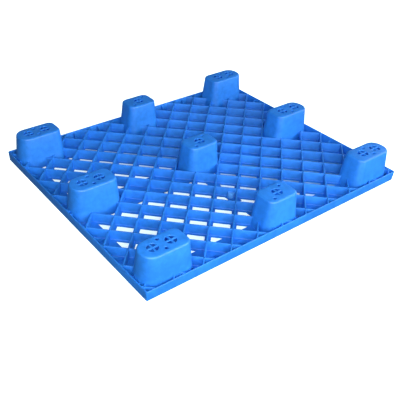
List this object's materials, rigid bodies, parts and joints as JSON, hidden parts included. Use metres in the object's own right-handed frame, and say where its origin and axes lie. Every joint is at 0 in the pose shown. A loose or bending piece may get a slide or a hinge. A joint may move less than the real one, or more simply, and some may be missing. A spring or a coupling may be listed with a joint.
{
  "type": "nestable plastic pallet",
  "caption": "Nestable injection-moulded plastic pallet, lying deck down with its hollow feet up: perforated deck, diagonal rib lattice and a shallow rim.",
  "frame": {"origin": "centre of the load deck's outer face, which is also the centre of the bounding box's bottom face", "axes": "+X along the long side, +Y along the short side, +Z out of the underside towards the soles of the feet; the pallet lies upside down on its load deck, so in use it is turned over about X"},
  "size_m": [1.2, 0.9998, 0.135],
  "materials": {
    "moulded_blue": "satin moulded polyethylene, one colour all through"
  },
  "bodies": {
    "root": {"deck_panel": "moulded_blue", "rim_front": "moulded_blue", "rim_back": "moulded_blue", "rim_right": "moulded_blue", "rim_left": "moulded_blue", "foot_shell_front_left": "moulded_blue", "foot_shell_front_centre": "moulded_blue", "foot_shell_front_right": "moulded_blue", "foot_shell_mid_left": "moulded_blue", "foot_shell_mid_centre": "moulded_blue", "foot_shell_mid_right": "moulded_blue", "foot_shell_back_left": "moulded_blue", "foot_shell_back_centre": "moulded_blue", "foot_shell_back_right": "moulded_blue", "sole_front_left": "moulded_blue", "sole_front_centre": "moulded_blue", "sole_front_right": "moulded_blue", "sole_mid_left": "moulded_blue", "sole_mid_centre": "moulded_blue", "sole_mid_right": "moulded_blue", "sole_back_left": "moulded_blue", "sole_back_centre": "moulded_blue", "sole_back_right": "moulded_blue", "ribs_diagonal_a": "moulded_blue", "ribs_diagonal_b": "moulded_blue", "link_ribs": "moulded_blue", "rim_gussets": "moulded_blue", "gate_stub": "moulded_blue"}
  },
  "joints": []
}
